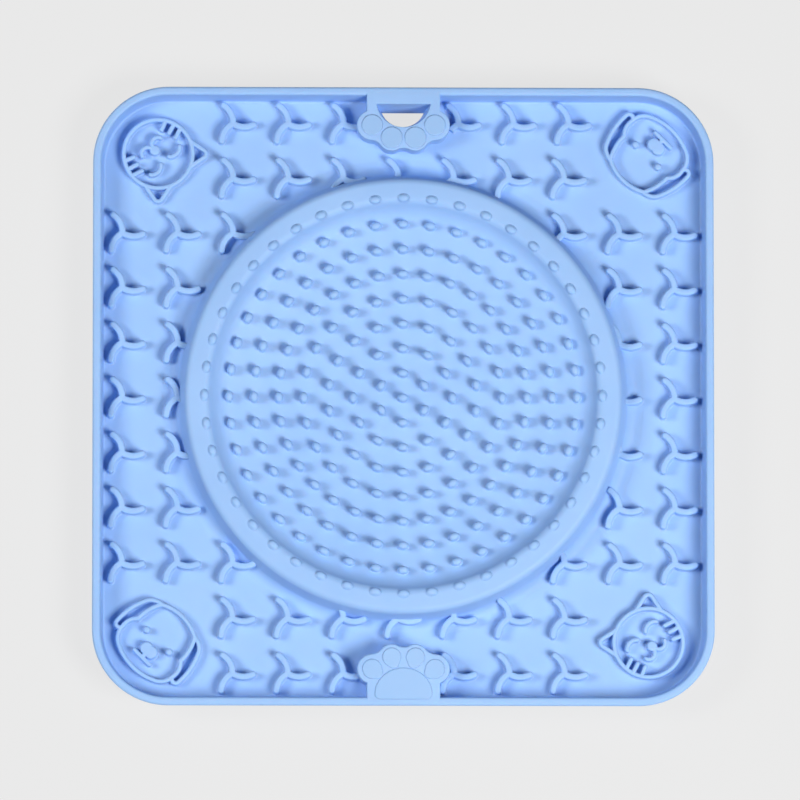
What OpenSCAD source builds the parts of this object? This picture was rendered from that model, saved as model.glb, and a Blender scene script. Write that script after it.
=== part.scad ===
// Square silicone lick mat: a shallow tray with a raised round dish full of licking nubs,
// swirl ridges on the outer floor, four animal faces, a hanging tab and a paw badge.
// Millimetres, +Z up, origin under the middle of the mat where the suction cups rest.

/* [Mat] */
// Side of the square mat
mat_side = 200; // [190:1:230]
// Outer radius of the rounded corners
corner_r = 24.5; // [20:0.5:30]
// Thickness of the silicone sheet
sheet_t = 2; // [1.5:0.1:2.6]

/* [Border rim] */
// Height of the rim above the tray floor
rim_h = 10; // [8:0.5:14]
// Width of the rim at its top
rim_w = 2.7; // [2.2:0.1:3.4]
// How far the inner wall leans in from the top to the foot
rim_draft = 0.8; // [0.2:0.1:1]
// How far the outer wall leans out from the sheet to the top
rim_flare = 1.4; // [0.5:0.1:1.6]
// Rounding of the rim's edges
rim_edge_r = 0.9; // [0.5:0.1:1.1]
// Fillet between the rim and the tray floor
rim_foot_r = 0.7; // [0.5:0.1:1.5]

/* [Dish] */
// Radius of the middle of the dish wall's crest
dish_crest_r = 65.8; // [64:0.1:66.5]
// Width of the crest's flat top
crest_w = 6.4; // [5:0.1:7]
// Height of the crest above the tray floor
dish_h = 10; // [8:0.5:12]
// Radius of the flat dish floor
dish_floor_r = 46; // [42:0.5:47]
// Rounding of the crest's inner edge
crest_in_round = 1; // [0.6:0.1:1.5]
// Rounding of the crest's outer edge
crest_out_round = 2.8; // [2.7:0.1:3.5]
// Steepness of the outer flank, in degrees
flank_angle = 72; // [65:1:75]
// Fillet between the outer flank and the tray floor
flank_foot_r = 4.5; // [3:0.5:6]

/* [Nubs] */
// Length of a nub along its ring
nub_l = 3.6; // [3:0.1:4.2]
// Width of a nub across its ring
nub_w = 2.6; // [2:0.1:3]
// Height of the nubs on the dish floor
nub_h = 3.6; // [2.5:0.1:4.5]
// Height of the nubs on the dish slope
slope_nub_h = 2.6; // [1.5:0.1:3]
// Height of the nubs on the crest
crest_nub_h = 1; // [0.6:0.1:1.5]

/* [Swirl ridges] */
// Rows of swirls on each side of the middle lines
swirl_rows = 5; // [4:1:5]
// Gap between the outermost swirls and the foot of the rim
swirl_gap = 0.25; // [0.2:0.05:2]
// Width of a ridge
ridge_w = 1.8; // [1.2:0.1:2]
// Height of a ridge
ridge_h = 4; // [3:0.25:5]
// Radius of the arc that an arm follows
arm_r = 6.6; // [5.5:0.1:7]
// Angle that an arm turns through
arm_turn = 60; // [40:5:70]
// Direction in which the first arm leaves the middle
arm_start = -33; // [-60:1:0]
// Sideways shift of the swirls right of the hanging tab
tab_side_shift = 1.5; // [0:0.1:2]

/* [Animal faces] */
// Distance of a face's middle from the two nearest sides
face_inset = 21; // [20:0.5:24]
// Radius of the head line
face_r = 11.1; // [9.5:0.1:12]
// Width of the lines
line_w = 1.2; // [1:0.1:1.6]
// Height of the lines
line_h = 2.8; // [1:0.1:3]

/* [Hanging tab and paw badge] */
// Width of the neck that joins the rim
neck_w = 23.6; // [20:0.2:26]
// Radius of the outer lobes
outer_lobe_r = 4.85; // [4.5:0.05:5.5]
// Radius of the inner lobes
inner_lobe_r = 4.25; // [4:0.05:5]
// Distance of the outer lobes from the middle line
outer_lobe_x = 10.1; // [9:0.1:11]
// Distance of the inner lobes from the middle line
inner_lobe_x = 3.8; // [3.5:0.05:4.2]
// Radius of the hollow fillets between neighbouring lobes
lobe_fillet_r = 4.5; // [2:0.5:6]
// Width of the plain border round the tab's outer toes
tab_outer_border = 1.35; // [0.6:0.05:1.6]
// Width of the plain border round the tab's inner toes
tab_inner_border = 0.65; // [0.5:0.05:1.4]
// Width of the plain border round the paw's outer toes
paw_outer_border = 1.6; // [0.8:0.05:1.8]
// Width of the plain border round the paw's inner toes
paw_inner_border = 1.15; // [0.8:0.05:1.5]
// Height of the toes and the pad above the plateau
relief_h = 0.4; // [0.2:0.1:0.8]
// Distance of the tab's outer lobes from the side of the mat
tab_outer_y = 12.35; // [12:0.05:14]
// Distance of the tab's inner lobes from the side of the mat
tab_inner_y = 16.4; // [16:0.1:18]
// Distance of the badge's outer lobes from the side of the mat
badge_outer_y = 11.8; // [11:0.1:13]
// Distance of the badge's inner lobes from the side of the mat
badge_inner_y = 15.6; // [15:0.1:17]
// Radius of the curved edge of the hanging slot
slot_r = 8.8; // [8:0.1:9]
// Height of the hanging slot
slot_h = 7.5; // [6:0.1:7.6]
// Distance of the slot's straight edge from the side of the mat
slot_edge_y = 5.5; // [5:0.1:6.2]
// Width of the paw's main pad
pad_w = 18.7; // [16:0.1:20]
// Height of the arch of the main pad
pad_h = 8.5; // [7:0.1:9]
// Rounding of the main pad's lower corners
pad_corner_r = 1.8; // [1:0.1:2]
// Distance of the main pad's lower edge from the side of the mat
pad_edge_y = 1.95; // [1.5:0.05:3]

/* [Suction cups] */
// Outer diameter of a cup
cup_d = 16; // [12:0.5:17]
// Height of a cup
cup_h = 3; // [2.5:0.1:4]
// Diameter of the neck that joins a cup to the sheet
cup_neck_d = 8; // [5:0.5:10]
// Thickness of a cup's lip
cup_lip_t = 0.6; // [0.4:0.1:0.8]
// Width of the flat ring that a cup rests on
cup_lip_w = 0.8; // [0.6:0.1:1.2]
// Depth of the hollow under a cup
cup_hollow = 1.6; // [1:0.1:1.8]
// Distance of the corner cups from the two nearest sides
corner_cup_inset = 21; // [20:0.5:24]
// Distance of the side cups from the nearest side
side_cup_inset = 13.5; // [13:0.25:15]
// Distance of the side cups from the middle line
side_cup_x = 38; // [34:1:44]
// Distance of the middle cups from the two middle lines
middle_cup_x = 22; // [16:1:24]

/* [Hidden] */
$fn = 64;

floor_color = "#9cc4f6";
relief_color = "#a9d0ff";
cup_color = "#8fb8ee";

// Levels, from the surface that the cups rest on
half = mat_side / 2;
sheet_z = cup_h;
floor_z = sheet_z + sheet_t;
plateau_z = floor_z + rim_h;

// Width of the rim where it meets the tray floor
rim_foot = rim_w + rim_draft + rim_foot_r;

// Inner and outer edge of the crest's flat top
crest_in_r = dish_crest_r - crest_w / 2;
crest_out_r = dish_crest_r + crest_w / 2;

// Scoop: the arc that carries the dish floor up to the rounding of the crest, and how far its
// lower face turns before it meets the lower face of the crest
scoop_run = crest_in_r - dish_floor_r;
scoop_angle = 2 * atan(dish_h / scoop_run);
scoop_r = scoop_run / sin(scoop_angle) - crest_in_round;
under_angle = acos((scoop_r + sheet_t - dish_h) / (scoop_r + sheet_t));

// Flank: the straight stretch between the rounding of the crest and the foot fillet
flank_arcs = crest_out_round + flank_foot_r;
flank_run = (dish_h - flank_arcs * (1 - cos(flank_angle))) / sin(flank_angle);
dish_foot_r = crest_out_r + flank_arcs * sin(flank_angle) + flank_run * cos(flank_angle);

// Nubs in each ring, from the inside out. The last ring stands along the crest's inner edge.
ring_counts = [6, 12, 18, 24, 32, 36, 40, 44];
crest_ring = len(ring_counts);
crest_margin = 0.1;
ring_pitch = (crest_in_r + crest_margin + nub_w / 2) / crest_ring;
// A nub's top is a dome that is a little wider than half the nub's length
nub_dome_r = 0.53 * nub_l;

// Swirls: where the arms end, how far they reach, and the pitch that spreads the rows evenly
arm_chord = 2 * arm_r * sin(arm_turn / 2);
arm_ends = [for (k = [0:2]) arm_chord * direction(arm_start + arm_turn / 2 + 120 * k)];
swirl_max = [for (axis = [0, 1]) max([for (e = arm_ends) e[axis]]) + ridge_w / 2];
swirl_min = [for (axis = [0, 1]) min([for (e = arm_ends) e[axis]]) - ridge_w / 2];
swirl_shift = -(swirl_max + swirl_min) / 2;
swirl_reach = max(swirl_max - swirl_min) / 2;
ridge_pitch = (half - rim_foot - swirl_gap - swirl_reach) / swirl_rows;
// The round tips of arms and face lines are a little wider than the lines themselves
tip_d = 1.08 * ridge_w;
dot_d = 1.08 * line_w;
// Swirls end under the dish, and an arm that its flank buries from end to end is left out
swirl_clear_r = crest_out_r + 0.5;
buried_r = dish_foot_r - flank_foot_r * sin(flank_angle)
  - (ridge_h - flank_foot_r * (1 - cos(flank_angle))) / tan(flank_angle);

// How far from the middle line a swirl can meet the tab or the badge
plateau_reach = outer_lobe_x + outer_lobe_r + 2 * swirl_reach;

face_x = half - face_inset;
corner_cup_x = half - corner_cup_inset;
side_cup_y = half - side_cup_inset;

function direction(a) = [cos(a), sin(a)];

// Points along an arc, from angle a0 to angle a1
function arc(centre, r, a0, a1, steps = 8) =
  [for (i = [0:steps]) centre + r * direction(a0 + (a1 - a0) * i / steps)];

// Sections of the dish wall's two halves, which meet in the middle of the crest: the upper and
// the lower face of the scoop, and the flank's upper face or a face that lies below it
function scoop_top() = concat(
  arc([dish_floor_r, scoop_r], scoop_r, -90, scoop_angle - 90, 12),
  arc([crest_in_r, dish_h - crest_in_round], crest_in_round, 90 + scoop_angle, 90, 6),
  [[dish_crest_r, dish_h]]
);
function scoop_under() = concat(
  arc([dish_floor_r, scoop_r], scoop_r + sheet_t, -90, under_angle - 90, 12),
  [[dish_crest_r, dish_h - sheet_t]]
);
function flank_curve(below) = concat(
  [[dish_crest_r, dish_h - below]],
  arc([crest_out_r, dish_h - crest_out_round], crest_out_round - below, 90, 90 - flank_angle),
  arc([dish_foot_r, flank_foot_r], flank_foot_r + below, 270 - flank_angle, 270, 6)
);

function backwards(points) = [for (i = [len(points) - 1:-1:0]) points[i]];

// Height and steepness of the dish at a ring of nubs, above the tray floor
function dish_height(ring) =
  ring == crest_ring ? dish_h : scoop_r * (1 - cos(dish_slope(ring)));
function dish_slope(ring) =
  ring == crest_ring ? 0 : asin(max(0, ring * ring_pitch - dish_floor_r) / scoop_r);

function ring_nub_h(ring) =
  ring == crest_ring ? crest_nub_h : ring == crest_ring - 1 ? slope_nub_h : nub_h;

function swirl_centre(i, j) =
  ridge_pitch * [i, j] + swirl_shift + [j == swirl_rows && i > 0 ? tab_side_shift : 0, 0];

// A swirl is left out under the dish, under a face, and under the tab and the badge
function has_swirl(i, j) =
  norm(swirl_centre(i, j)) > swirl_clear_r
  && norm([for (p = swirl_centre(i, j)) abs(p) - face_x]) > face_r + swirl_reach
  && !(i == 0 && abs(j) == swirl_rows);

// Flat outlines

module rounded_square(side, r) {
  square([side, side - 2 * r], center = true);
  square([side - 2 * r, side], center = true);
  for (x = [-1, 1], y = [-1, 1])
    translate([x, y] * (side / 2 - r))
      circle(r);
}

module hanging_slot() {
  intersection() {
    translate([0, half - slot_edge_y - slot_h + slot_r])
      circle(slot_r);
    translate([-slot_r, half - slot_edge_y - slot_h])
      square([2 * slot_r, slot_h]);
  }
}

// Part of a flat ring, between two radii and two angles
module ring_sector(centre, r_in, r_out, a0, a1) {
  translate(centre)
    intersection() {
      difference() {
        circle(r_out);
        circle(r_in);
      }
      polygon(concat([[0, 0]], arc([0, 0], 2 * r_out, a0, a1, 3)));
    }
}

// Hollow fillet between two lobes, on the right of the way from the first to the second. Its arc
// crosses the lobes at a slight angle, because the overlap brings it closer than a tangent arc.
module lobe_fillet(first, first_r, second, second_r) {
  overlap = 0.005 * lobe_fillet_r;
  first_reach = first_r + lobe_fillet_r - overlap;
  second_reach = second_r + lobe_fillet_r - overlap;
  gap = norm(second - first);
  along = (second - first) / gap;
  on_way = (pow(first_reach, 2) - pow(second_reach, 2) + pow(gap, 2)) / (2 * gap);
  off_way = sqrt(pow(first_reach, 2) - pow(on_way, 2));
  out = [along[1], -along[0]];
  centre = first + on_way * along + off_way * out;
  // The blank starts a little behind the middles of both lobes
  behind = 0.1 * lobe_fillet_r * out;
  difference() {
    polygon([centre, second - behind, first - behind]);
    translate(centre)
      circle(lobe_fillet_r);
  }
}

// Four lobes on a neck that reaches the rim's inner edge, for a plateau on the +Y side
module lobed_outline(outer_y, inner_y) {
  outer = [outer_lobe_x, half - outer_y];
  inner = [inner_lobe_x, half - inner_y];
  translate([-neck_w / 2, half - outer_y])
    square([neck_w, outer_y - rim_w]);
  polygon([[-outer[0], outer[1]], [-inner[0], inner[1]], inner, outer]);
  lobe_fillet([-inner[0], inner[1]], inner_lobe_r, inner, inner_lobe_r);
  for (side = [0, 1])
    mirror([side, 0]) {
      lobe_fillet(inner, inner_lobe_r, outer, outer_lobe_r);
      translate(outer)
        circle(outer_lobe_r);
      translate(inner)
        circle(inner_lobe_r);
    }
}

module tab_outline() {
  lobed_outline(tab_outer_y, tab_inner_y);
}

module badge_outline() {
  rotate(180)
    lobed_outline(badge_outer_y, badge_inner_y);
}

// Lines of the faces, in shares of the head's radius. Lines stop just short of their ends,
// where round dots finish them or join them to the next line.

module line_dots(centres) {
  for (centre = centres)
    translate(centre * face_r)
      circle(d = dot_d);
}

module line_arc(centre, r, a0, a1) {
  mid_r = r * face_r;
  short = asin(0.1 * line_w / mid_r);
  ring_sector(centre * face_r, mid_r - line_w / 2, mid_r + line_w / 2, a0 + short, a1 - short);
}

// A line that bulges to its right by a given height
module line_bow(start, end, bulge) {
  run = end - start;
  chord = norm(run);
  r = (pow(chord / 2, 2) + pow(bulge, 2)) / (2 * bulge);
  centre = (start + end) / 2 - (r - bulge) * [run[1], -run[0]] / chord;
  from = atan2(start[1] - centre[1], start[0] - centre[0]);
  line_arc(centre, r, from, from + 2 * asin(chord / 2 / r));
}

module line_straight(start, end) {
  run = (end - start) * face_r;
  short = 0.1 * line_w;
  translate(start * face_r)
    rotate(atan2(run[1], run[0]))
      translate([short, -line_w / 2])
        square([norm(run) - 2 * short, line_w]);
}

module cat_lines() {
  ear_tip = 1.37 * direction(45);
  ear_in = direction(67);
  ear_out = direction(23);
  eye = [0.38, 0.1];
  eye_r = 0.28;
  mouth = [0.21, -0.22];
  mouth_r = 0.18;
  whiskers = [
    [[0.69, 0.02], [0.96, -0.07]],
    [[0.65, -0.21], [0.92, -0.29]],
    [[0.57, -0.43], [0.79, -0.52]]
  ];
  difference() {
    circle(face_r + line_w / 2);
    circle(face_r - line_w / 2);
  }
  for (side = [0, 1])
    mirror([side, 0]) {
      line_straight(ear_in, ear_tip);
      line_straight(ear_out, ear_tip);
      line_arc(eye, eye_r, 40, 140);
      line_arc(mouth, mouth_r, 180, 340);
      for (w = whiskers) {
        line_straight(w[0], w[1]);
        line_dots(w);
      }
      line_dots([
        ear_tip, eye + eye_r * direction(40), eye + eye_r * direction(140),
        mouth - [mouth_r, 0], mouth + mouth_r * direction(340)
      ]);
    }
  translate([0, -0.14 * face_r])
    circle(0.15 * face_r);
}

module dog_lines() {
  // Top of the head, then down an ear and round its tip
  top = [0, -0.36];
  top_r = 1.39;
  temple = top + top_r * direction(61);
  shoulder_r = 0.45;
  shoulder = temple - [0, shoulder_r];
  ear_start = shoulder + shoulder_r * direction(25);
  ear_r = 2.01;
  ear = ear_start - ear_r * direction(25);
  ear_end = ear + ear_r * direction(-4);
  tip_r = 0.12;
  tip = ear_end - tip_r * direction(-4);
  // Corner of the jaw, where the cheek starts, and the chin between both corners
  jaw = [0.52, -0.39];
  jaw_r = 0.51;
  jaw_top = jaw + [jaw_r, 0];
  jaw_end = jaw + jaw_r * direction(-64);
  cheek_end = [0.87, 0.08];
  chin_r = jaw_end[0] / cos(64);
  chin = jaw_end + chin_r * direction(116);
  // Nose and mouth
  nose_y = -0.35;
  mouth_y = -0.63;
  mouth_end = [0.3, mouth_y];
  line_arc(top, top_r, 61, 119);
  line_arc(chin, chin_r, 244, 296);
  line_straight([0, nose_y], [0, mouth_y]);
  line_dots([[0, mouth_y]]);
  for (side = [0, 1])
    mirror([side, 0]) {
      line_arc(shoulder, shoulder_r, 25, 90);
      line_arc(ear, ear_r, -4, 25);
      line_arc(tip, tip_r, -140, -4);
      line_bow(jaw_top, cheek_end, 0.07);
      line_bow(cheek_end, temple, 0.06);
      line_arc(jaw, jaw_r, -64, 0);
      line_straight([0, mouth_y], mouth_end);
      line_dots([
        temple, ear_start, ear_end, tip + tip_r * direction(-140), jaw_top, jaw_end, cheek_end,
        mouth_end
      ]);
      // Eye and half of the oval nose
      translate([0.46, 0.03] * face_r)
        circle(0.1 * face_r);
      translate([0.09, nose_y] * face_r)
        circle(0.19 * face_r);
    }
}

// Solid shapes

// Section of the rim and the edge of the sheet below it, at its place on a corner's radius
module rim_section() {
  edge = rim_edge_r;
  top = sheet_t + rim_h;
  foot = corner_r - rim_foot;
  polygon(concat(
    [[foot, 0]],
    arc([corner_r - rim_flare - edge, edge], edge, -90, 0),
    arc([corner_r - edge, top - edge], edge, 0, 90),
    arc([corner_r - rim_w + edge, top - edge], edge, 90, 180),
    arc([foot, sheet_t + rim_foot_r], rim_foot_r, 0, -90)
  ));
}

// One straight side of the rim, on the +Y side
module rim_side() {
  straight = mat_side - 2 * corner_r;
  translate([-straight / 2, half - corner_r, sheet_z])
    rotate([90, 0, 90])
      linear_extrude(straight)
        rim_section();
}

// Square inner edge of the rim where a plateau joins it, on the +Y side
module rim_shoulder() {
  translate([-neck_w / 2, half - rim_w, plateau_z - rim_edge_r])
    cube([neck_w, rim_edge_r, rim_edge_r]);
}

// A round wall of the dish between the sections of its upper and lower faces
module dish_wall(upper, lower) {
  color(floor_color)
    translate([0, 0, floor_z])
      rotate_extrude()
        polygon(concat(upper, backwards(lower)));
}

// What the dish's outer flank buries of the ridges and plateaus that run into it
module flank_body() {
  translate([0, 0, floor_z])
    rotate_extrude()
      polygon(concat(
        [[dish_floor_r, -sheet_t], [dish_floor_r, dish_h]],
        flank_curve(0),
        [[dish_foot_r, -sheet_t]]
      ));
}

// Oval nub with a domed top, standing on the tray floor's level, long along X
module nub(height) {
  dome_z = height - nub_dome_r;
  translate([0, 0, floor_z])
    intersection() {
      linear_extrude(height) {
        square([nub_l - nub_w, nub_w], center = true);
        for (side = [-1, 1])
          translate([side * (nub_l - nub_w) / 2, 0])
            circle(d = nub_w);
      }
      rotate_extrude()
        intersection() {
          union() {
            square([nub_dome_r, dome_z]);
            translate([0, dome_z])
              circle(nub_dome_r);
          }
          square([nub_dome_r, height]);
        }
    }
}

// What lies below a face at a height above the tray floor that rises towards +Y
module below_slope(height, slope) {
  reach = 2 * nub_l;
  translate([0, 0, floor_z + height])
    rotate([slope, 0, 0])
      translate([-reach, -reach, -dish_h])
        cube([2 * reach, 2 * reach, dish_h]);
}

// A ring of nubs: on the dish floor, cut to the slope of the scoop, or on the crest
module nub_ring(ring) {
  count = ring_counts[ring - 1];
  height = dish_height(ring);
  color(relief_color)
    for (i = [0:count - 1])
      rotate([0, 0, i * 360 / count])
        translate([0, ring * ring_pitch, 0])
          if (height == 0)
            nub(nub_h);
          else
            difference() {
              nub(height + ring_nub_h(ring));
              below_slope(height, dish_slope(ring));
            }
}

// A curved arm that leaves the middle of a swirl
module swirl_arm(k) {
  rotate(arm_start + 120 * k)
    translate([0, arm_r]) {
      ring_sector([0, 0], arm_r - ridge_w / 2, arm_r + ridge_w / 2, -90, arm_turn - 90);
      rotate(arm_turn - 90)
        translate([arm_r, 0])
          circle(d = tip_d);
    }
}

// A swirl at a place, with its arms cut short by the tab and the badge
module swirl(place) {
  translate([0, 0, floor_z])
    linear_extrude(ridge_h)
      difference() {
        translate(place)
          for (k = [0:2])
            if (max(norm(place), norm(place + arm_ends[k])) > buried_r)
              swirl_arm(k);
        if (abs(place[0]) < plateau_reach && place[1] > 0)
          tab_outline();
        if (abs(place[0]) < plateau_reach && place[1] < 0)
          badge_outline();
      }
}

// The swirls on one side of the mat: turn 0 is +X, and each further turn is a quarter turn
module swirls(turn) {
  color(relief_color)
    for (i = [-swirl_rows:swirl_rows], j = [-swirl_rows:swirl_rows]) {
      quarter = abs(j) > abs(i) ? (j > 0 ? 1 : 3) : (i > 0 ? 0 : 2);
      place = swirl_centre(i, j);
      if (quarter == turn && has_swirl(i, j))
        if (norm(place) > dish_foot_r + swirl_reach)
          swirl(place);
        else
          difference() {
            swirl(place);
            flank_body();
          }
    }
}

// A face at the corner in the given direction, with the top of its head to the mat's middle
module face_at(corner_angle) {
  color(relief_color)
    rotate([0, 0, corner_angle])
      translate([face_x * sqrt(2), 0, floor_z])
        rotate([0, 0, 90])
          linear_extrude(line_h)
            children();
}

// A raised toe that tapers from its own lobe towards the main pad
module paw_toe(place, r) {
  taper = 0.62;
  towards = [0, half - pad_edge_y - pad_corner_r] - place;
  angle = atan2(towards[1], towards[0]);
  tip = place + taper * r * direction(angle);
  // Direction in which the toe's straight sides leave both of its circles
  side = acos((1 - taper) / taper);
  translate([0, 0, plateau_z])
    linear_extrude(relief_h) {
      translate(place)
        circle(r);
      translate(tip)
        circle(taper * r);
      polygon([
        place + r * direction(angle - side), tip + taper * r * direction(angle - side),
        tip + taper * r * direction(angle + side), place + r * direction(angle + side)
      ]);
    }
}

// A suction cup whose neck meets the underside of the sheet
module suction_cup() {
  cup_r = cup_d / 2;
  hollow_r = cup_r - cup_lip_w;
  dome_r = (pow(hollow_r, 2) + pow(cup_hollow, 2)) / (2 * cup_hollow);
  difference() {
    rotate_extrude()
      polygon([[0, 0], [cup_r, 0], [cup_r, cup_lip_t], [cup_neck_d / 2, cup_h], [0, cup_h]]);
    translate([0, 0, cup_hollow - dome_r])
      sphere(dome_r);
  }
}

module suction_cups(places) {
  color(cup_color)
    for (p = places)
      translate([p[0], p[1], 0])
        suction_cup();
}

// Sub-parts

module floor_sheet() {
  color(floor_color)
    translate([0, 0, sheet_z])
      linear_extrude(sheet_t)
        difference() {
          rounded_square(mat_side - 2 * rim_foot, corner_r - rim_foot);
          circle(dish_foot_r);
          hanging_slot();
        }
}

module border_rim() {
  corner = half - corner_r;
  color(relief_color)
    for (turn = [0:3])
      rotate([0, 0, 90 * turn]) {
        rim_side();
        translate([corner, corner, sheet_z])
          rotate_extrude(angle = 90)
            rim_section();
        if (turn % 2 == 0)
          rim_shoulder();
      }
}

module dish_floor() {
  color(floor_color)
    translate([0, 0, sheet_z])
      cylinder(r = dish_floor_r, h = sheet_t);
}

module dish_scoop() {
  dish_wall(scoop_top(), scoop_under());
}

module dish_flank() {
  dish_wall(flank_curve(0), flank_curve(sheet_t));
}

module nub_centre() {
  color(relief_color)
    nub(nub_h);
}

module hanging_tab() {
  color(relief_color)
    difference() {
      translate([0, 0, floor_z])
        linear_extrude(rim_h)
          difference() {
            tab_outline();
            hanging_slot();
          }
      rim_side();
      flank_body();
    }
}

module hanging_tab_toes() {
  color(relief_color)
    translate([0, 0, plateau_z])
      for (side = [-1, 1]) {
        translate([side * outer_lobe_x, half - tab_outer_y, 0])
          cylinder(r = outer_lobe_r - tab_outer_border, h = relief_h);
        translate([side * inner_lobe_x, half - tab_inner_y, 0])
          cylinder(r = inner_lobe_r - tab_inner_border, h = relief_h);
      }
}

module paw_badge() {
  color(relief_color)
    difference() {
      translate([0, 0, floor_z])
        linear_extrude(rim_h)
          badge_outline();
      rotate([0, 0, 180])
        rim_side();
      flank_body();
    }
}

module paw_toes() {
  color(relief_color)
    rotate([0, 0, 180])
      for (side = [-1, 1]) {
        paw_toe([side * outer_lobe_x, half - badge_outer_y], outer_lobe_r - paw_outer_border);
        paw_toe([side * inner_lobe_x, half - badge_inner_y], inner_lobe_r - paw_inner_border);
      }
}

module paw_pad() {
  foot_y = pad_edge_y + pad_corner_r - half;
  color(relief_color)
    translate([0, foot_y, plateau_z])
      linear_extrude(relief_h) {
        polygon([for (a = [0:7.5:180]) [pad_w / 2 * cos(a), pad_h * sin(a)]]);
        square([pad_w - 2 * pad_corner_r, 2 * pad_corner_r], center = true);
        for (side = [-1, 1])
          translate([side * (pad_w / 2 - pad_corner_r), 0])
            circle(pad_corner_r);
      }
}

module corner_suction_cups() {
  suction_cups([for (x = [-1, 1], y = [-1, 1]) corner_cup_x * [x, y]]);
}

module side_suction_cups() {
  along = [for (x = [-1, 1], y = [-1, 1]) [x * side_cup_x, y * side_cup_y]];
  suction_cups(concat(along, [for (p = along) [p[1], p[0]]]));
}

module middle_suction_cups() {
  suction_cups([for (x = [-1, 1], y = [-1, 1]) middle_cup_x * [x, y]]);
}

floor_sheet();
border_rim();
dish_floor();
dish_scoop();
dish_flank();
nub_centre();
nub_ring(1);  // nub_ring_1
nub_ring(2);  // nub_ring_2
nub_ring(3);  // nub_ring_3
nub_ring(4);  // nub_ring_4
nub_ring(5);  // nub_ring_5
nub_ring(6);  // nub_ring_6
nub_ring(7);  // nub_ring_7
nub_ring(8);  // nub_ring_8
swirls(1);  // ridges_north
swirls(3);  // ridges_south
swirls(2);  // ridges_west
swirls(0);  // ridges_east
face_at(135) cat_lines();  // cat_face_northwest
face_at(-45) cat_lines();  // cat_face_southeast
face_at(45) dog_lines();  // dog_face_northeast
face_at(-135) dog_lines();  // dog_face_southwest
hanging_tab();
hanging_tab_toes();
paw_badge();
paw_toes();
paw_pad();
corner_suction_cups();
side_suction_cups();
middle_suction_cups();
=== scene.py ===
"""Dresses the lick mat as one soft silicone moulding, on a pale studio floor, seen from above."""
import math

import bmesh
import bpy
from mathutils import Matrix, Vector


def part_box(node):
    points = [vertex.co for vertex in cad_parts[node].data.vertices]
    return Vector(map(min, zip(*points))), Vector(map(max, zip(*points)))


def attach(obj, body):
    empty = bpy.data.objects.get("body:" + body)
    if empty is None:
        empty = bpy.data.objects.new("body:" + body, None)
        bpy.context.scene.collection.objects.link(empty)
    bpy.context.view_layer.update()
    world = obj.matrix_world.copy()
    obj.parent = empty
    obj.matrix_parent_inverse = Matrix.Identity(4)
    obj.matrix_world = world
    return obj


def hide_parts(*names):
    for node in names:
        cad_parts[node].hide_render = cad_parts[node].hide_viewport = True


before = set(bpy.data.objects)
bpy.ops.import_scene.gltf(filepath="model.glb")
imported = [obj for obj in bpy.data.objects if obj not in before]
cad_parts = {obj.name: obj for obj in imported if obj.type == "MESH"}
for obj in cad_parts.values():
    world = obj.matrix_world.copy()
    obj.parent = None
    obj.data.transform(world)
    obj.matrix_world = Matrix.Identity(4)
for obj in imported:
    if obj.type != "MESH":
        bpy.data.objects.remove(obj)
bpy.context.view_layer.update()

MM = 0.001

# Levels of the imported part
half_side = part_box("border_rim")[1].x
sheet_z, floor_z = (corner.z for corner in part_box("floor_sheet"))
rim_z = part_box("border_rim")[1].z
dish_edge_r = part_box("dish_flank")[1].x
dish_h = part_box("dish_flank")[1].z - floor_z
sheet_t = floor_z - sheet_z

# Border rim
corner_r = 24.5 * MM
rim_w = 2.7 * MM
rim_draft = 0.8 * MM
rim_flare = 1.4 * MM
rim_edge_r = 0.9 * MM
rim_foot_r = 0.7 * MM

# Dish
bowl_angle = 13
wall_angle = 61
wall_foot_r = 9.5 * MM
crest_in_r = 64.7 * MM
crest_out_r = 68.3 * MM
crest_in_round = 3.0 * MM
crest_out_round = 2.4 * MM
flank_angle = 75
flank_foot_r = 4.0 * MM

# Nubs
nub_half_l = 1.8 * MM
nub_half_w = 1.3 * MM
nub_foot_h = 0.35 * MM
nub_dome_h = 0.9 * MM
nub_h = 4.4 * MM
slope_nub_h = 3.6 * MM
crest_nub_h = 1.0 * MM
ring_counts = (6, 12, 18, 24, 32, 36, 40, 44)
ring_pitch = 8.0 * MM

# Swirl ridges
ridge_pitch = 17.8 * MM
ridge_size = (2.1 * MM, 4.0 * MM)
arm_r = 6.6 * MM
arm_turn = 60
arm_start = -33
swirl_shift = Vector((-1.5, -0.175)) * MM
tab_side_shift = 1.5 * MM
tab_arm_l = 3.0 * MM
swirl_rows = 5
swirl_clear_r = 69.5 * MM
swirl_reach = 6.55 * MM

# Animal faces
face_x = half_side - 21 * MM
face_r = 11.1 * MM
line_size = (1.4 * MM, 3.4 * MM)

# Hanging slot, whose walls lean in towards the underside
slot_r = 8.8 * MM
slot_h = 7.5 * MM
slot_edge_y = half_side - 5.5 * MM
slot_lean = 1.5 * MM

# Suction cups
cup_r = 8.0 * MM
cup_neck_r = 4.0 * MM
cup_lip_t = 0.6 * MM
cup_lip_w = 0.8 * MM
cup_hollow = 1.6 * MM
cup_neck_h = 0.5 * MM
cup_neck_flare = 0.4 * MM
corner_cup_x = half_side - 21 * MM
side_cup_x = 38 * MM
side_cup_y = half_side - 13.5 * MM
middle_cup_x = 22 * MM

# Softness of the moulding: rounded edges, fillets at the foot of reliefs, and how far reliefs sink
ridge_edge_r = 0.6 * MM
foot_fillet = 0.5 * MM
plateau_edge_r = 1.2 * MM
relief_edge_r = 0.38 * MM
sunk = 0.05 * MM
lap = 0.5 * MM
crisp_angle = math.radians(50)

# Gaps that are closed when meshes are merged, within a solid and along the seams of a union
weld_gap = 0.002 * MM
seam_gap = 0.01 * MM

# Studio, in metres
paper_half_side = 3.0
lamp_distance = 1.2
camera_distance = 4.0


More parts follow.
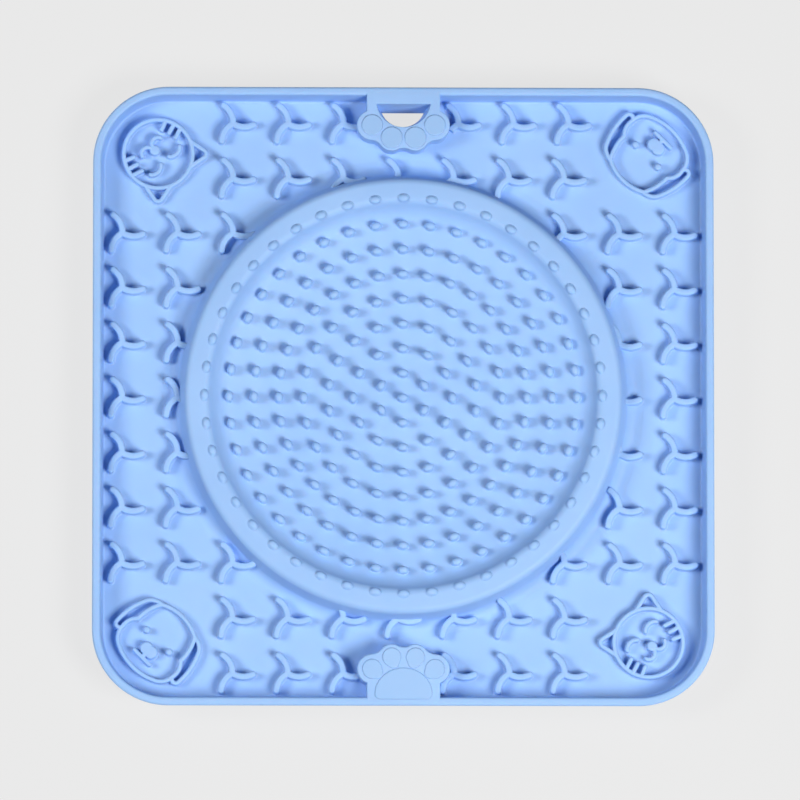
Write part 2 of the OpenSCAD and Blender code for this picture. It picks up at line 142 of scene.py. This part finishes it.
def hex_colour(code):
    """Linear colour from an sRGB hex value."""
    channels = [int(code[i:i + 2], 16) / 255 for i in (1, 3, 5)]
    return [c / 12.92 if c <= 0.04045 else ((c + 0.055) / 1.055) ** 2.4 for c in channels] + [1.0]


def add_node(tree, kind, links=(), **values):
    """Adds a node, sets its sockets by name and links its inputs."""
    node = tree.nodes.new(kind)
    for name, value in values.items():
        node.inputs[name.replace("_", " ")].default_value = value
    for name, source in links:
        tree.links.new(source, node.inputs[name])
    return node


def silicone_material():
    """Pale blue silicone rubber from a satin mould: it scatters light softly, so its shades stay
    blue, and gives a broad faint highlight, broken a little by the grain of the mould."""
    material = bpy.data.materials.new("moulded_silicone_rubber")
    material.use_nodes = True
    tree = material.node_tree
    tree.nodes.clear()
    place = add_node(tree, "ShaderNodeTexCoord").outputs["Object"]
    # Clouds of pigment some 25 mm across, and a mould grain drawn at 0.8 mm so that it shows
    clouds = add_node(tree, "ShaderNodeTexNoise", [("Vector", place)], Scale=1 / (25 * MM), Detail=3.0)
    grain = add_node(tree, "ShaderNodeTexNoise", [("Vector", place)], Scale=1 / (0.8 * MM), Detail=2.0)
    colour = add_node(tree, "ShaderNodeValToRGB", [("Fac", clouds.outputs["Fac"])])
    deep, pale = colour.color_ramp.elements
    deep.position, deep.color = 0.3, hex_colour("#98c0f3")
    pale.position, pale.color = 0.7, hex_colour("#9ec5f6")
    rough = add_node(tree, "ShaderNodeMapRange", [("Value", grain.outputs["Fac"])], To_Min=0.58, To_Max=0.68)
    bump = add_node(tree, "ShaderNodeBump", [("Height", grain.outputs["Fac"])],
                    Strength=0.1, Distance=0.05 * MM)
    shader = add_node(
        tree, "ShaderNodeBsdfPrincipled",
        [("Base Color", colour.outputs["Color"]), ("Roughness", rough.outputs["Result"]),
         ("Normal", bump.outputs["Normal"])],
        IOR=1.41, Specular_IOR_Level=0.9,
        Subsurface_Weight=0.15, Subsurface_Radius=(0.4, 1.3, 1.4), Subsurface_Scale=1.2 * MM)
    add_node(tree, "ShaderNodeOutputMaterial", [("Surface", shader.outputs["BSDF"])])
    return material


silicone = silicone_material()


# Helpers for sections and meshes

def direction(angle):
    return Vector((math.cos(math.radians(angle)), math.sin(math.radians(angle))))


def arc(centre, radius, start, end, steps):
    """Points along an arc in a flat section, with angles in degrees."""
    angles = [start + (end - start) * i / steps for i in range(steps + 1)]
    return [tuple(Vector(centre) + radius * direction(a)) for a in angles]


def only(kind, geometry):
    return [g for g in geometry if isinstance(g, kind)]


def verts_of(geometry):
    return only(bmesh.types.BMVert, geometry)


def edges_of(geometry):
    return only(bmesh.types.BMEdge, geometry)


def chain(bm, points, closed=False):
    """Vertices joined by edges, for the operators to spin or extrude."""
    verts = [bm.verts.new(p) for p in points]
    ends = verts[1:] + verts[:1] if closed else verts[1:]
    return verts + [bm.edges.new(pair) for pair in zip(verts, ends)]


def spin(bm, geometry, centre, angle, steps):
    """Turns geometry about an upright axis, and gives its last copy."""
    full = abs(angle) >= 360
    return bmesh.ops.spin(bm, geom=geometry, cent=(*Vector(centre).xy, 0), axis=(0, 0, 1),
                          angle=math.radians(angle), steps=steps, use_merge=full)["geom_last"]


def stretch(bm, geometry, step):
    """Extrudes a loop along a straight way, and gives its copy at the end."""
    made = bmesh.ops.extrude_edge_only(bm, edges=edges_of(geometry))["geom"]
    bmesh.ops.translate(bm, vec=(*Vector(step).xy, 0), verts=verts_of(made))
    return verts_of(made) + edges_of(made)


def tidy(bm, merge=weld_gap):
    """Merges doubles, turns faces outwards and shades all but crisp edges smooth."""
    bmesh.ops.remove_doubles(bm, verts=bm.verts, dist=merge)
    bmesh.ops.dissolve_degenerate(bm, edges=bm.edges, dist=merge)
    bmesh.ops.recalc_face_normals(bm, faces=bm.faces)
    for face in bm.faces:
        face.smooth = True
    for edge in bm.edges:
        edge.smooth = edge.calc_face_angle(0) < crisp_angle


def mesh_of(bm, name):
    mesh = bpy.data.meshes.new(name)
    bm.to_mesh(mesh)
    bm.free()
    return mesh


def piece_of(bm, name, *nodes):
    """Makes a bmesh a piece of the mat that stands for CAD nodes."""
    tidy(bm)
    mesh = mesh_of(bm, name)
    mesh.materials.append(silicone)
    piece = bpy.data.objects.new(name, mesh)
    bpy.context.scene.collection.objects.link(piece)
    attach(piece, "root")
    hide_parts(*nodes)


def union(first, others):
    """One closed mesh from two meshes, whose shells may overlap each other and themselves."""
    base, tool = (bpy.data.objects.new("union", mesh) for mesh in (first, others))
    for part in (base, tool):
        bpy.context.scene.collection.objects.link(part)
    modifier = base.modifiers.new("union", "BOOLEAN")
    modifier.operation = "UNION"
    modifier.solver = "EXACT"
    modifier.use_self = True
    modifier.object = tool
    joined = bpy.data.meshes.new_from_object(base.evaluated_get(bpy.context.evaluated_depsgraph_get()))
    for part in (base, tool):
        bpy.data.objects.remove(part)
    return joined


# The dish

# The bowl's gentle curve, which the fillet at the foot of the inner wall carries on to the crest
bowl_slope, wall_slope, flank_slope = [direction(a) for a in (bowl_angle, wall_angle, flank_angle)]
bowl_rise = dish_h - crest_in_round * (1 - wall_slope.x) - wall_foot_r * (bowl_slope.x - wall_slope.x)
bowl_r = bowl_rise / (1 - bowl_slope.x)
wall_run = crest_in_round * wall_slope.y + wall_foot_r * (wall_slope.y - bowl_slope.y)
dish_floor_r = crest_in_r - wall_run - bowl_r * bowl_slope.y
bowl = Vector((dish_floor_r, bowl_r))
wall_foot = bowl + (bowl_r - wall_foot_r) * direction(bowl_angle - 90)
flank_arcs = crest_out_round + flank_foot_r
flank_rise = dish_h - flank_arcs * (1 - flank_slope.x)
dish_foot_r = crest_out_r + flank_arcs * flank_slope.y + flank_rise * flank_slope.x / flank_slope.y


def sag(radius, run):
    """How far an arc leaves its tangent, a run away from the point where they touch."""
    return radius - math.sqrt(radius ** 2 - run ** 2)


def dish_height(r):
    """Height of the dish above the tray floor, from its middle to its crest."""
    if r <= dish_floor_r:
        return 0.0
    if r <= dish_floor_r + bowl_r * bowl_slope.y:
        return sag(bowl_r, r - dish_floor_r)
    if r <= crest_in_r - crest_in_round * wall_slope.y:
        return wall_foot.y - wall_foot_r + sag(wall_foot_r, r - wall_foot.x)
    return dish_h - sag(crest_in_round, max(0.0, crest_in_r - r))


def scoop_section(below):
    """Section of the bowl and its inner wall, or of a face a given depth below them."""
    return (
        arc(bowl, bowl_r + below, -90, bowl_angle - 90, 10)
        + arc(wall_foot, wall_foot_r + below, bowl_angle - 90, wall_angle - 90, 12)
    )


def flank_section(below):
    """Section of the flank's upper face, or of its lower face a given depth below it."""
    return (
        arc((crest_out_r, dish_h - crest_out_round), crest_out_round - below, 90, 90 - flank_angle, 8)
        + arc((dish_foot_r, flank_foot_r), flank_foot_r + below, 270 - flank_angle, 270, 8)
    )


def dish_top():
    return (
        scoop_section(0)
        + arc((crest_in_r, dish_h - crest_in_round), crest_in_round, 90 + wall_angle, 90, 8)
        + flank_section(0)
    )


def dish_under():
    below_crest = dish_h - sheet_t
    scoop = [(r, z) for r, z in scoop_section(sheet_t) if z < below_crest]
    return [*scoop, (crest_in_r, below_crest), *flank_section(sheet_t)]


def make_dish():
    """The floor at the foot of the flank laps under the tray floor's surface."""
    bm = bmesh.new()
    section = [(0, 0), *dish_top(), (dish_edge_r + lap, -sunk), *reversed(dish_under()), (0, -sheet_t)]
    spin(bm, chain(bm, [(r, 0, floor_z + z) for r, z in section]), (0, 0), 360, 192)
    piece_of(bm, "dish", "dish_floor", "dish_scoop", "dish_flank")


# The border rim

def make_rim():
    """The rim's section goes round each corner and on along the next side."""
    bm = bmesh.new()
    corner = half_side - corner_r
    foot = corner_r - rim_w - rim_draft - rim_foot_r
    top = rim_z - sheet_z
    section = [
        (foot - lap, sheet_t - sunk), (foot, 0),
        *arc((corner_r - rim_flare - rim_edge_r, rim_edge_r), rim_edge_r, -90, 0, 5),
        *arc((corner_r - rim_edge_r, top - rim_edge_r), rim_edge_r, 0, 90, 6),
        *arc((corner_r - rim_w + rim_edge_r, top - rim_edge_r), rim_edge_r, 90, 180, 6),
        *arc((foot, sheet_t + rim_foot_r), rim_foot_r, 0, -90, 5),
    ]
    loop = chain(bm, [(corner + r, corner, sheet_z + z) for r, z in section], closed=True)
    for quarter in range(4):
        turn = Matrix.Rotation(quarter * math.pi / 2, 2)
        loop = spin(bm, loop, turn @ Vector((corner, corner)), 90, 20)
        loop = stretch(bm, loop, turn @ Vector((-2 * corner, 0)))
    piece_of(bm, "rim", "border_rim")


# The nubs

def add_nub(bm, ring_r, height):
    """An oval nub at the +Y end of a ring. Its flared foot follows the dish, and its top is a dome."""
    foot = min(nub_foot_h, 0.4 * height)
    dome = min(nub_dome_h, 0.6 * height)
    section = [
        (1 + foot / nub_half_w, -sunk), (1 + 0.3 * foot / nub_half_w, 0.3 * foot), (1, foot),
        (0.96, height - dome), (0.8, height - 0.4 * dome), (0.45, height - 0.08 * dome), (0, height),
    ]
    spin(bm, chain(bm, [(r, 0, z) for r, z in section]), (0, 0), 360, 12)
    for vert in bm.verts:
        x, y = vert.co.x * nub_half_l, ring_r + vert.co.y * nub_half_w
        at_foot = vert.co.z <= foot
        vert.co = (x, y, floor_z + vert.co.z + dish_height(math.hypot(x, y) if at_foot else ring_r))


def make_nub_ring(number):
    bm = bmesh.new()
    last = len(ring_counts)
    height = {last: crest_nub_h, last - 1: slope_nub_h}.get(number, nub_h)
    add_nub(bm, number * ring_pitch, height)
    if number == 0:
        piece_of(bm, "nub_in_the_middle", "nub_centre")
        return
    count = ring_counts[number - 1]
    bmesh.ops.spin(bm, geom=[*bm.verts, *bm.edges, *bm.faces], cent=(0, 0, 0), axis=(0, 0, 1),
                   angle=math.tau * (count - 1) / count, steps=count - 1, use_duplicate=True)
    piece_of(bm, f"nubs_{number}", f"nub_ring_{number}")


# Ridges: the swirls and the lines of the faces

def ridge_section(size):
    """Half of a ridge's section, from its flared foot up to the middle of its rounded top."""
    half, height = size[0] / 2, size[1]
    edge_r = min(ridge_edge_r, 0.8 * half)
    return [
        (half + foot_fillet, -sunk),
        *arc((half + foot_fillet, foot_fillet), foot_fillet, 270, 180, 3),
        *arc((half - edge_r, height - edge_r), edge_r, 0, 90, 4),
        (0, height),
    ]


def ridge_loop(size):
    """A whole ridge section as (to the right, up) points, closed along its bottom."""
    right = ridge_section(size)
    return [(0, -sunk), *right, *[(-s, z) for s, z in right[-2::-1]]]


def round_end(bm, loop, place, right, angle):
    """Rounds the end of a ridge by turning the right half of its section."""
    verts = [v for v in verts_of(loop) if (v.co.xy - place).dot(right) > -sunk / 10]
    edges = [e for e in edges_of(loop) if all(v in verts for v in e.verts)]
    spin(bm, verts + edges, place, angle, 8)


def add_ridge(bm, size, place, heading, *moves):
    """A ridge with round ends, from a place in a heading. A move is a straight stretch (length, 0),
    or a bend (radius, angle) to the left if its angle is positive."""
    place = Vector(place)
    right = direction(heading - 90)
    loop = chain(bm, [(*(place + right * s), floor_z + z) for s, z in ridge_loop(size)], closed=True)
    round_end(bm, loop, place, right, -180)
    for length, angle in moves:
        if angle == 0:
            loop = stretch(bm, loop, direction(heading) * length)
            place = place + direction(heading) * length
            continue
        side = math.copysign(90, angle)
        centre = place + direction(heading + side) * length
        loop = spin(bm, loop, centre, angle, max(3, round(abs(angle) / 6)))
        heading += angle
        place = centre - direction(heading + side) * length
    round_end(bm, loop, place, direction(heading - 90), 180)


def add_line(bm, start, end):
    """A straight face line, between points in shares of the head's radius."""
    run = (Vector(end) - Vector(start)) * face_r
    add_ridge(bm, line_size, Vector(start) * face_r, math.degrees(math.atan2(run.y, run.x)), (run.length, 0))


def add_arc(bm, centre, radius, start, end):
    """A bent face line, in shares of the head's radius."""
    place = (Vector(centre) + radius * direction(start)) * face_r
    add_ridge(bm, line_size, place, start + 90, (radius * face_r, end - start))


def add_bow(bm, start, end, bulge):
    """A face line that bulges to its right."""
    run = Vector(end) - Vector(start)
    radius = ((run.length / 2) ** 2 + bulge ** 2) / (2 * bulge)
    turn = 2 * math.degrees(math.asin(run.length / 2 / radius))
    heading = math.degrees(math.atan2(run.y, run.x)) - turn / 2
    add_ridge(bm, line_size, Vector(start) * face_r, heading, (radius * face_r, turn))


def add_ear(bm, start, tip, end, bend_r):
    """Two straight lines that meet in a rounded tip, in shares of the head's radius."""
    rise, fall = tip - start, end - tip
    turn = -math.degrees(rise.angle_signed(fall))
    cut = bend_r * math.tan(math.radians(abs(turn) / 2))
    moves = ((rise.length - cut, 0), (bend_r, turn), (fall.length - cut, 0))
    heading = math.degrees(math.atan2(rise.y, rise.x))
    add_ridge(bm, line_size, start * face_r, heading, *[(length * face_r, angle) for length, angle in moves])


def add_knob(bm, centre, radius):
    """A round knob as high as the face lines, in shares of the head's radius."""
    size = (2 * radius * face_r, line_size[1])
    middle = Vector(centre) * face_r
    points = [(middle.x + s, middle.y, floor_z + z) for s, z in [(0, -sunk), *ridge_section(size)]]
    spin(bm, chain(bm, points), middle, 360, 24)


def add_head_ring(bm):
    points = [(face_r + s, 0, floor_z + z) for s, z in ridge_loop(line_size)]
    spin(bm, chain(bm, points, closed=True), (0, 0), 360, 72)


def both_sides(bm):
    """Adds the mirror image of a half figure."""
    bmesh.ops.mirror(bm, geom=[*bm.verts, *bm.edges, *bm.faces], axis="X", merge_dist=-1)
    tidy(bm)


def finish_figure(half, middle, name):
    """Joins the mirrored half of a figure with what lies on its middle line."""
    both_sides(half)
    tidy(middle)
    return union(mesh_of(middle, name), mesh_of(half, name))


def cat_figure():
    half = bmesh.new()
    add_ear(half, direction(67), 1.5 * direction(45), direction(23), 0.13)
    add_arc(half, (0.38, 0.1), 0.28, 40, 140)
    add_arc(half, (0.21, -0.22), 0.18, 180, 340)
    for start, end in (((0.69, 0.02), (0.96, -0.07)), ((0.65, -0.21), (0.92, -0.29)),
                       ((0.57, -0.43), (0.79, -0.52))):
        add_line(half, start, end)
    middle = bmesh.new()
    add_head_ring(middle)
    add_knob(middle, (0, -0.14), 0.15)
    return finish_figure(half, middle, "cat")


def dog_figure():
    half = bmesh.new()
    temple = Vector((0, -0.36)) + 1.39 * direction(61)
    bends = ((0.45, -65), (2.01, -29), (0.12, -136))
    add_ridge(half, line_size, temple * face_r, 0, *[(r * face_r, turn) for r, turn in bends])
    jaw, jaw_r = Vector((0.52, -0.39)), 0.51
    jaw_end = jaw + jaw_r * direction(-64)
    cheek_end = (0.87, 0.08)
    add_arc(half, jaw, jaw_r, -64, 0)
    add_bow(half, jaw + Vector((jaw_r, 0)), cheek_end, 0.07)
    add_bow(half, cheek_end, temple, 0.06)
    add_knob(half, (0.46, 0.03), 0.1)
    add_knob(half, (0.09, -0.35), 0.19)
    middle = bmesh.new()
    chin_r = jaw_end.x / direction(64).x
    add_arc(middle, (0, -0.36), 1.39, 61, 119)
    add_arc(middle, jaw_end + chin_r * direction(116), chin_r, 244, 296)
    add_line(middle, (0, -0.35), (0, -0.63))
    add_line(middle, (-0.3, -0.63), (0.3, -0.63))
    return finish_figure(half, middle, "dog")


def make_face(figure, corner_angle, node):
    """Places a figure in a corner, with the top of its head to the middle of the mat."""
    bm = bmesh.new()
    bm.from_mesh(figure)
    bm.transform(
        Matrix.Rotation(math.radians(corner_angle), 4, "Z")
        @ Matrix.Translation((face_x * math.sqrt(2), 0, 0))
        @ Matrix.Rotation(math.pi / 2, 4, "Z"))
    tidy(bm, seam_gap)
    piece_of(bm, f"{node}_lines", node)


def swirl_figure():
    """Three curved arms that leave the middle of a swirl."""
    arms = [bmesh.new(), bmesh.new()]
    for k in range(3):
        add_ridge(arms[min(k, 1)], ridge_size, (0, 0), arm_start + 120 * k, (arm_r, arm_turn))
    for bm in arms:
        tidy(bm)
    return union(*[mesh_of(bm, "swirl") for bm in arms])


def swirl_centre(i, j):
    place = ridge_pitch * Vector((i, j)) + swirl_shift
    if j == swirl_rows and i > 0:
        place.x += tab_side_shift
    return place


def has_swirl(i, j):
    """No swirl lies under the dish, a face, the tab or the badge."""
    place = swirl_centre(i, j)
    from_face = Vector((abs(place.x) - face_x, abs(place.y) - face_x)).length
    under_plateau = i == 0 and abs(j) == swirl_rows
    return place.length > swirl_clear_r and from_face > face_r + swirl_reach and not under_plateau


def cut_off(bm, place, normal):
    """Removes what lies beyond a plane, and closes the cut."""
    bmesh.ops.bisect_plane(bm, geom=[*bm.verts, *bm.edges, *bm.faces], clear_outer=True,
                           plane_co=place, plane_no=normal)
    bmesh.ops.holes_fill(bm, edges=[e for e in bm.edges if e.is_boundary])


def end_at_tab(bm, place):
    """Ends the arm that would run on past the tab, where it meets the tab's outer lobe."""
    along = direction(arm_start + arm_turn / 2 + 240)
    cut_off(bm, (*(place + along * tab_arm_l), 0), (*along, 0))


def end_in_flank(bm, place):
    """Cuts a swirl off inside the dish's outer wall, along the middle of its sloping flank."""
    outwards = place.normalized()
    slope = direction(90 - flank_angle)
    normal = Vector((*(outwards * slope.x), slope.y))
    bend = Vector((dish_foot_r, flank_foot_r)) - flank_foot_r * slope
    on_flank = Vector((*(outwards * bend.x), floor_z + bend.y))
    cut_off(bm, on_flank - normal * sheet_t / 2, -normal)


def make_swirls(figure, side, belongs):
    bm = bmesh.new()
    rows = range(-swirl_rows, swirl_rows + 1)
    for i, j in [(i, j) for i in rows for j in rows if belongs(i, j) and has_swirl(i, j)]:
        place = swirl_centre(i, j)
        one = bmesh.new()
        one.from_mesh(figure)
        tidy(one, seam_gap)
        bmesh.ops.translate(one, vec=(*place, 0), verts=one.verts)
        if place.length < dish_foot_r + swirl_reach:
            end_in_flank(one, place)
        if (i, j) == (1, swirl_rows):
            end_at_tab(one, place)
        placed = mesh_of(one, "placed")
        bm.from_mesh(placed)
        bpy.data.meshes.remove(placed)
    piece_of(bm, f"swirls_{side}", f"ridges_{side}")


# Plateaus: the hanging tab, the paw badge and their reliefs

def solid_of(node):
    """A merged copy of a CAD node, with whole flat faces."""
    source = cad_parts[node]
    bm = bmesh.new()
    bm.from_mesh(source.data)
    bm.transform(source.matrix_world)
    bmesh.ops.remove_doubles(bm, verts=bm.verts, dist=weld_gap)
    bmesh.ops.dissolve_limit(bm, angle_limit=math.radians(0.5), verts=bm.verts, edges=bm.edges)
    return bm


def round_top(bm, radius, profile, until=None):
    """Rounds the edges of a solid's top face, but not the edge along the rim. A narrow border keeps
    the shading of the top flat."""
    top = max(v.co.z for v in bm.verts)

    def on_top(part):
        return all(top - v.co.z < sunk for v in part.verts)

    edges = [e for e in bm.edges if on_top(e)]
    if until is not None:
        edges = [e for e in edges if not all(until - abs(v.co.y) < sunk for v in e.verts)]
    bmesh.ops.bevel(bm, geom=edges, offset=radius, offset_type="OFFSET", affect="EDGES",
                    segments=5, profile=profile, material=-1, clamp_overlap=True)
    bmesh.ops.inset_region(bm, faces=[f for f in bm.faces if on_top(f)], thickness=sunk)


def slot_outline(bm, inset, z):
    """Vertices along the hanging slot's outline at a height, brought in by an inset."""
    middle_y = slot_edge_y - slot_h + slot_r
    tilt = math.degrees(math.asin((middle_y - slot_edge_y + inset) / (slot_r - inset)))
    outline = arc((0, middle_y), slot_r - inset, 180 + tilt, 360 - tilt, 24)
    return [bm.verts.new((x, y, z)) for x, y in outline]


def add_slot_walls(bm):
    """A wedge round the slot that makes its walls lean in, down to the underside."""
    top = slot_outline(bm, -sunk, rim_z - plateau_edge_r)
    inner = slot_outline(bm, slot_lean, sheet_z)
    outer = slot_outline(bm, -sunk, sheet_z)
    for one, other in ((top, inner), (inner, outer), (outer, top)):
        for k in range(len(one)):
            bm.faces.new((one[k - 1], one[k], other[k], other[k - 1]))


def make_plateau(name, node, *details):
    """A plateau that reaches over the rounding of the rim's inner edge, to its flat top."""
    bm = solid_of(node)
    rim_flat_y = half_side - rim_w + rim_edge_r
    rim_reach = half_side - rim_w - rim_draft - rim_foot_r - lap
    for vert in bm.verts:
        if abs(vert.co.y) > rim_reach:
            vert.co.y = math.copysign(rim_flat_y, vert.co.y)
    bmesh.ops.remove_doubles(bm, verts=bm.verts, dist=weld_gap)
    bmesh.ops.dissolve_degenerate(bm, edges=bm.edges, dist=weld_gap)
    round_top(bm, plateau_edge_r, 0.5, rim_flat_y)
    for add_detail in details:
        add_detail(bm)
    piece_of(bm, name, node)


def make_relief(name, node):
    bm = solid_of(node)
    round_top(bm, relief_edge_r, 0.3)
    piece_of(bm, name, node)


# Suction cups

def make_cups(name, node, places):
    """Cups with a rounded lip and a domed hollow, joined to the sheet by a flared neck."""
    bm = bmesh.new()
    hollow_r = cup_r - cup_lip_w
    dome_r = (hollow_r ** 2 + cup_hollow ** 2) / (2 * cup_hollow)
    dome_angle = math.degrees(math.asin(hollow_r / dome_r))
    lip_r = cup_lip_t / 2
    section = [
        *arc((0, cup_hollow - dome_r), dome_r, 90, 90 - dome_angle, 10),
        *arc((cup_r - lip_r, lip_r), lip_r, -90, 90, 6),
        (cup_neck_r + cup_neck_flare, sheet_z - cup_neck_h),
        (cup_neck_r, sheet_z + sunk),
        (0, sheet_z + sunk),
    ]
    for x, y in places:
        points = [(x + r, y, z) for r, z in section]
        spin(bm, chain(bm, points), (x, y), 360, 40)
    piece_of(bm, name, node)


def make_mat():
    make_dish()
    make_rim()
    for number in range(len(ring_counts) + 1):
        make_nub_ring(number)
    swirl = swirl_figure()
    make_swirls(swirl, "north", lambda i, j: j > abs(i))
    make_swirls(swirl, "south", lambda i, j: -j > abs(i))
    make_swirls(swirl, "east", lambda i, j: i >= abs(j))
    make_swirls(swirl, "west", lambda i, j: -i >= abs(j))
    cat, dog = cat_figure(), dog_figure()
    make_face(cat, 135, "cat_face_northwest")
    make_face(cat, -45, "cat_face_southeast")
    make_face(dog, 45, "dog_face_northeast")
    make_face(dog, -135, "dog_face_southwest")
    make_plateau("tab", "hanging_tab", add_slot_walls)
    make_plateau("badge", "paw_badge")
    make_relief("tab_toes", "hanging_tab_toes")
    make_relief("badge_toes", "paw_toes")
    make_relief("badge_pad", "paw_pad")
    signs = [(x, y) for x in (-1, 1) for y in (-1, 1)]
    along = [(x * side_cup_x, y * side_cup_y) for x, y in signs]
    corners = [(x * corner_cup_x, y * corner_cup_x) for x, y in signs]
    middle = [(x * middle_cup_x, y * middle_cup_x) for x, y in signs]
    make_cups("cups_at_corners", "corner_suction_cups", corners)
    make_cups("cups_at_sides", "side_suction_cups", along + [(y, x) for x, y in along])
    make_cups("cups_in_the_middle", "middle_suction_cups", middle)
    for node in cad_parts.values():
        node.data.materials.clear()
        node.data.materials.append(silicone)


# Studio

def paper_material(code, glow):
    """Pale paper under the mat. To the camera and in reflections it partly glows, so that shadows
    on it stay faint."""
    material = bpy.data.materials.new("pale_paper")
    material.use_nodes = True
    tree = material.node_tree
    tree.nodes.clear()
    ray = add_node(tree, "ShaderNodeLightPath").outputs
    seen = add_node(tree, "ShaderNodeMath", [(0, ray["Is Camera Ray"]), (1, ray["Is Glossy Ray"])])
    seen = add_node(tree, "ShaderNodeMath", [(0, seen.outputs["Value"]), (1, ray["Is Transmission Ray"])])
    share = add_node(tree, "ShaderNodeMapRange", [("Value", seen.outputs["Value"])], To_Max=glow)
    matt = add_node(tree, "ShaderNodeBsdfDiffuse", Color=hex_colour(code))
    shine = add_node(tree, "ShaderNodeEmission", Color=hex_colour(code), Strength=1.0)
    mixed = add_node(tree, "ShaderNodeMixShader", [("Fac", share.outputs["Result"])])
    tree.links.new(matt.outputs["BSDF"], mixed.inputs[1])
    tree.links.new(shine.outputs["Emission"], mixed.inputs[2])
    add_node(tree, "ShaderNodeOutputMaterial", [("Surface", mixed.outputs["Shader"])])
    return material


def make_floor():
    bm = bmesh.new()
    bmesh.ops.create_grid(bm, x_segments=1, y_segments=1, size=paper_half_side)
    mesh = mesh_of(bm, "studio_floor")
    mesh.materials.append(paper_material("#e9e9e9", 0.9))
    floor = bpy.data.objects.new("studio_floor", mesh)
    bpy.context.scene.collection.objects.link(floor)


def make_light(name, azimuth, elevation, size, power):
    """A soft square lamp that faces the mat, with azimuth from +X towards +Y."""
    lamp = bpy.data.lights.new(name, "AREA")
    lamp.size = size
    lamp.energy = power
    light = bpy.data.objects.new(name, lamp)
    flat = direction(azimuth) * direction(elevation).x
    light.location = Vector((*flat, direction(elevation).y)) * lamp_distance
    light.rotation_mode = "QUATERNION"
    light.rotation_quaternion = (-light.location).to_track_quat("-Z", "Y")
    bpy.context.scene.collection.objects.link(light)


def make_world(strength):
    world = bpy.data.worlds.new("studio")
    world.use_nodes = True
    background = world.node_tree.nodes["Background"]
    background.inputs["Color"].default_value = (1.0, 1.0, 1.0, 1.0)
    background.inputs["Strength"].default_value = strength
    bpy.context.scene.world = world


def make_camera(middle, to_left, to_front, width):
    """A long lens over the mat, leaning a little to the left and to the front, that shows a square
    of a given width round a point of the tray floor. The mat's sides stay along the picture's sides."""
    data = bpy.data.cameras.new("camera")
    data.lens = data.sensor_width * camera_distance / width
    data.clip_end = 5 * camera_distance
    camera = bpy.data.objects.new("camera", data)
    back = Vector((-math.tan(math.radians(to_left)), -math.tan(math.radians(to_front)), 1)).normalized()
    right = Vector((0, 1, 0)).cross(back).normalized()
    camera.location = Vector((*middle, floor_z)) + back * camera_distance
    camera.rotation_mode = "QUATERNION"
    camera.rotation_quaternion = Matrix((right, back.cross(right), back)).transposed().to_quaternion()
    bpy.context.scene.collection.objects.link(camera)
    bpy.context.scene.camera = camera


make_mat()
make_floor()
make_light("key_from_the_right", azimuth=-35, elevation=54, size=0.5, power=12.8)
make_light("fill_from_the_left", azimuth=178, elevation=48, size=0.4, power=7.0)
make_world(strength=0.02)
make_camera(middle=(-0.92 * MM, -0.41 * MM), to_left=1.3, to_front=6, width=257.9 * MM)
bpy.context.scene.view_settings.view_transform = "Standard"
